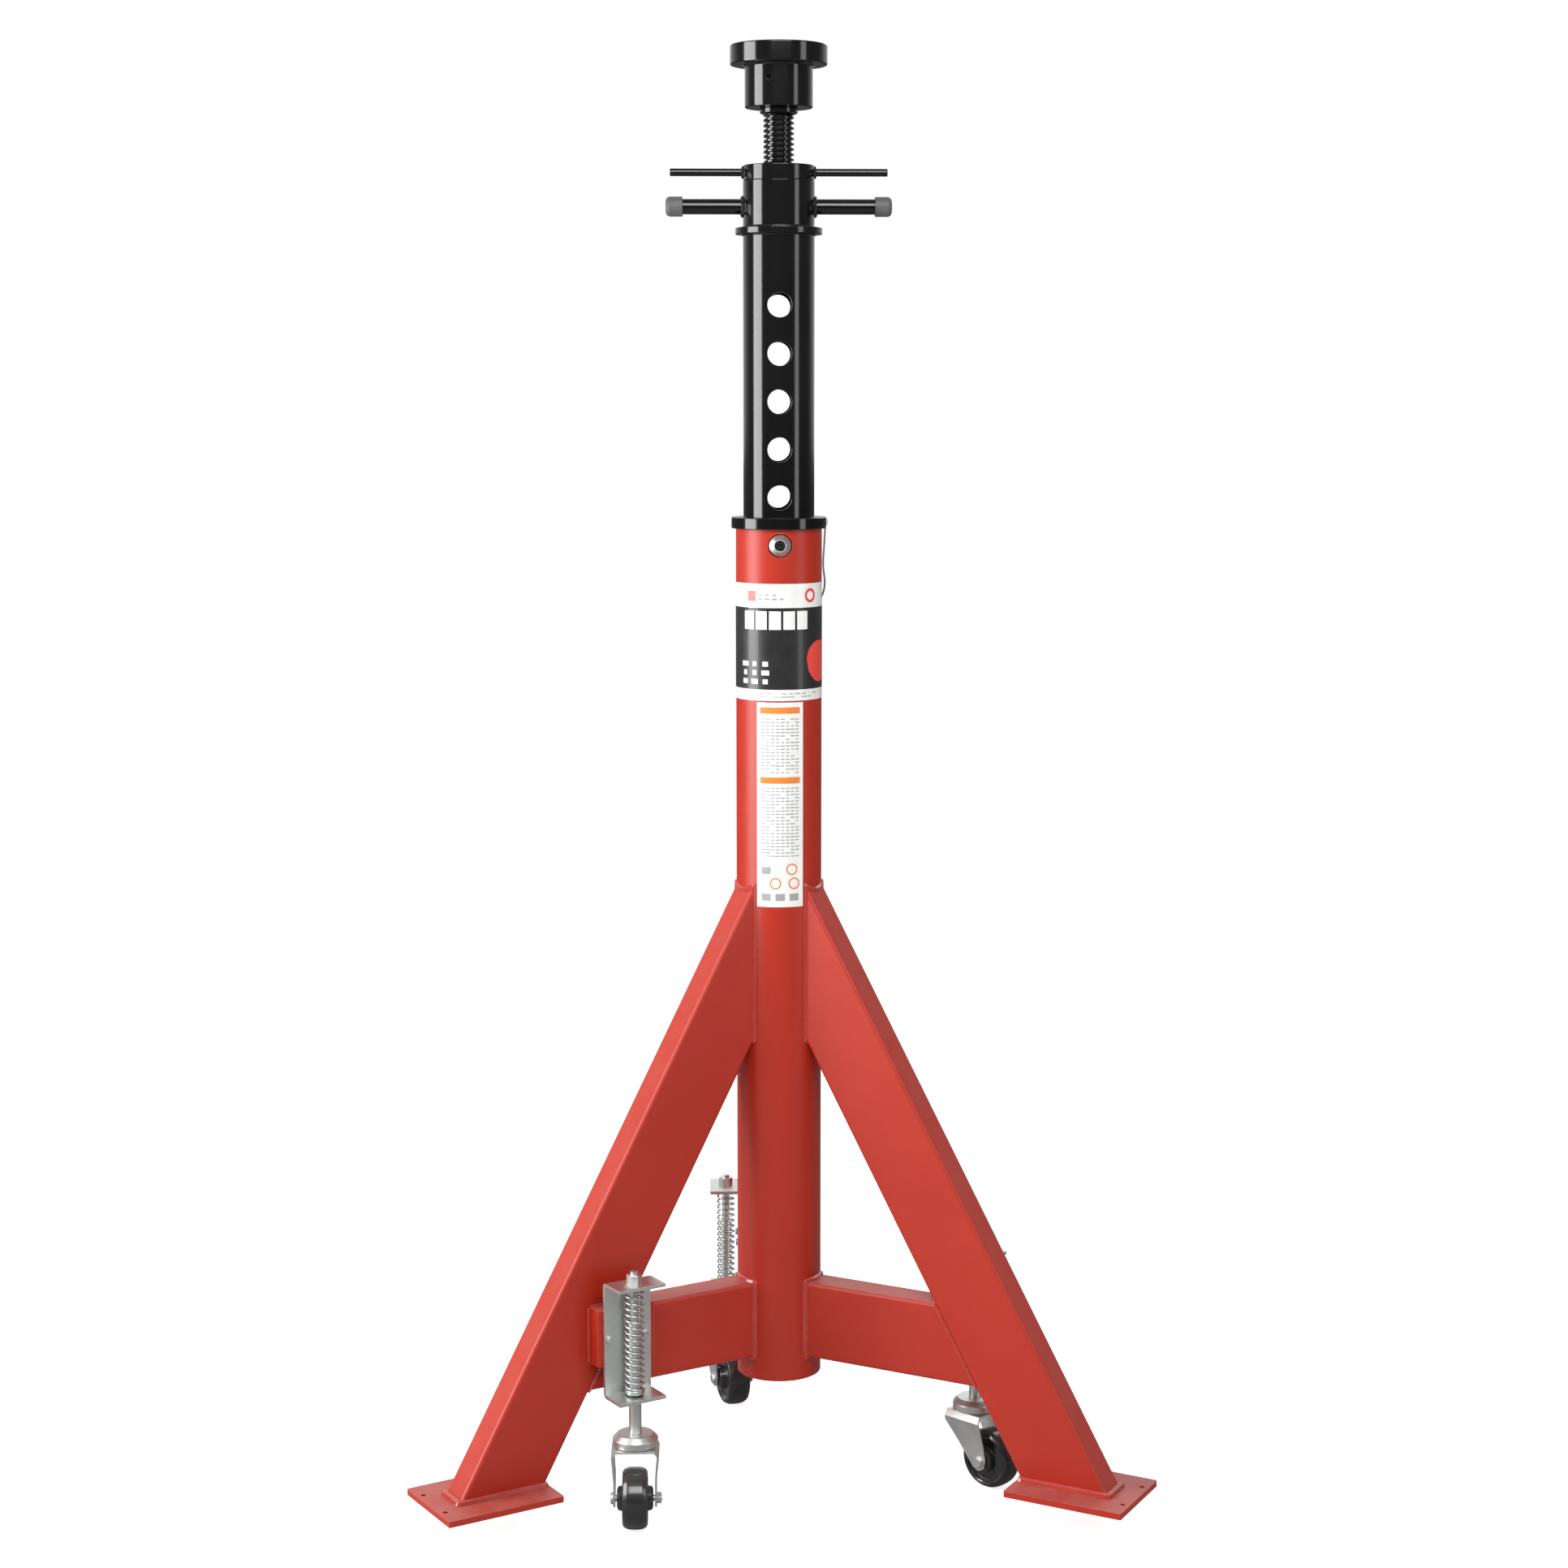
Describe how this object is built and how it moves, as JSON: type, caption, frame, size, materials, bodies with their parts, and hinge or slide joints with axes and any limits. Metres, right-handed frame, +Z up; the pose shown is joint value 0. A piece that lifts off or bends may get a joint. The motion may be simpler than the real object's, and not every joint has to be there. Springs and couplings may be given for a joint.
{
  "type": "tripod axle stand",
  "caption": "Tall tripod axle stand with a pinned sliding mast, a screw-adjusted flat saddle and spring-loaded swivel casters that lift the foot plates off the floor until it is loaded.",
  "frame": {"origin": "on the floor under the middle of the footprint, with the casters down; the post axis stands 98.9 mm in front of it", "axes": "+Z up along the post, +Y towards the rear leg and along the locking pin, +X to the right along the lift handles"},
  "size_m": [0.9318, 0.8075, 1.8146],
  "materials": {
    "red_paint": "semi-gloss red enamel",
    "black_paint": "gloss black enamel",
    "black_oxide": "black oxide",
    "cap_plastic": "matte dark grey",
    "zinc_plate": "bright zinc plate",
    "wire_rope": "stranded wire",
    "spring_steel": "zinc plated wire",
    "label_film": "printed vinyl film",
    "bush_plastic": "moulded black",
    "wheel_rubber": "hard black tread"
  },
  "bodies": {
    "base": {"outer_tube": "red_paint", "guide_ring": "black_paint", "ring_set_screws": "black_oxide", "lanyard_anchor": "zinc_plate", "wrap_label": "label_film", "guide_label": "label_film", "leg_rear": "red_paint", "leg_left": "red_paint", "leg_right": "red_paint", "brace_rear": "red_paint", "brace_left": "red_paint", "brace_right": "red_paint", "foot_plate_rear": "red_paint", "foot_plate_left": "red_paint", "foot_plate_right": "red_paint", "caster_pads": "red_paint", "caster_bracket_rear": "zinc_plate", "caster_bracket_left": "zinc_plate", "caster_bracket_right": "zinc_plate", "bracket_screws": "zinc_plate", "stem_bushes": "bush_plastic", "pin_lanyard": "wire_rope", "caster_spring_rear": "spring_steel", "caster_spring_left": "spring_steel", "caster_spring_right": "spring_steel"},
    "mast": {"mast_tube": "black_paint", "stop_ring": "black_paint", "lift_handle_left": "black_paint", "lift_handle_right": "black_paint", "handle_caps": "cap_plastic"},
    "nut": {"load_nut": "black_paint", "nut_bar_left": "black_paint", "nut_bar_right": "black_paint"},
    "screw": {"lift_screw": "black_paint", "saddle": "black_paint", "saddle_set_screw": "black_oxide"},
    "pin": {"locking_pin": "zinc_plate", "pin_handle": "zinc_plate"},
    "stem_rear": {"caster_stem_rear": "zinc_plate", "stem_nut_rear": "zinc_plate", "swivel_cup_rear": "zinc_plate", "swivel_balls_rear": "spring_steel"},
    "fork_rear": {"caster_fork_rear": "zinc_plate", "axle_bolt_rear": "zinc_plate"},
    "wheel_rear": {"caster_wheel_rear": "wheel_rubber"},
    "stem_left": {"caster_stem_left": "zinc_plate", "stem_nut_left": "zinc_plate", "swivel_cup_left": "zinc_plate", "swivel_balls_left": "spring_steel"},
    "fork_left": {"caster_fork_left": "zinc_plate", "axle_bolt_left": "zinc_plate"},
    "wheel_left": {"caster_wheel_left": "wheel_rubber"},
    "stem_right": {"caster_stem_right": "zinc_plate", "stem_nut_right": "zinc_plate", "swivel_cup_right": "zinc_plate", "swivel_balls_right": "spring_steel"},
    "fork_right": {"caster_fork_right": "zinc_plate", "axle_bolt_right": "zinc_plate"},
    "wheel_right": {"caster_wheel_right": "wheel_rubber"}
  },
  "joints": [
    {"name": "mast_slide", "type": "slide", "parent": "base", "child": "mast", "axis": [0, 0, 1], "range_m": [-0.295, 0.059]},
    {"name": "nut_turn", "type": "hinge", "parent": "mast", "child": "nut", "pos_m": [0, -0.0989, 1.66], "axis": [0, 0, 1], "range_deg": [-3240, 3240]},
    {"name": "screw_lift", "type": "slide", "parent": "mast", "child": "screw", "axis": [0, 0, 1], "range_m": [-0.0572, 0.0572]},
    {"name": "pin_pull", "type": "slide", "parent": "base", "child": "pin", "axis": [0, 1, 0], "range_m": [0, 0.14]},
    {"name": "stem_slide_rear", "type": "slide", "parent": "base", "child": "stem_rear", "axis": [0, 0, 1], "range_m": [0, 0.04], "stiffness_N_per_m": 4000, "springref_m": -0.09, "deforming": ["caster_spring_rear"]},
    {"name": "swivel_rear", "type": "hinge", "parent": "stem_rear", "child": "fork_rear", "pos_m": [-0.067, 0.1521, 0.104], "axis": [0, 0, 1], "continuous": true},
    {"name": "roll_rear", "type": "hinge", "parent": "fork_rear", "child": "wheel_rear", "pos_m": [-0.05858, 0.12539, 0.038], "axis": [0.9537, 0.3007, 0], "continuous": true},
    {"name": "stem_slide_left", "type": "slide", "parent": "base", "child": "stem_left", "axis": [0, 0, 1], "range_m": [0, 0.04], "stiffness_N_per_m": 4000, "springref_m": -0.09, "deforming": ["caster_spring_left"]},
    {"name": "swivel_left", "type": "hinge", "parent": "stem_left", "child": "fork_left", "pos_m": [-0.18387, -0.28243, 0.104], "axis": [0, 0, 1], "continuous": true},
    {"name": "roll_left", "type": "hinge", "parent": "fork_left", "child": "wheel_left", "pos_m": [-0.18387, -0.31043, 0.038], "axis": [1, 0, 0], "continuous": true},
    {"name": "stem_slide_right", "type": "slide", "parent": "base", "child": "stem_right", "axis": [0, 0, 1], "range_m": [0, 0.04], "stiffness_N_per_m": 4000, "springref_m": -0.09, "deforming": ["caster_spring_right"]},
    {"name": "swivel_right", "type": "hinge", "parent": "stem_right", "child": "fork_right", "pos_m": [0.25087, -0.16638, 0.104], "axis": [0, 0, 1], "continuous": true},
    {"name": "roll_right", "type": "hinge", "parent": "fork_right", "child": "wheel_right", "pos_m": [0.27067, -0.18618, 0.038], "axis": [0.7071, 0.7071, 0], "continuous": true}
  ],
  "couplings": [
    {"joint": "screw_lift", "follows": "nut_turn", "m_per_rad": -0.0010106}
  ]
}
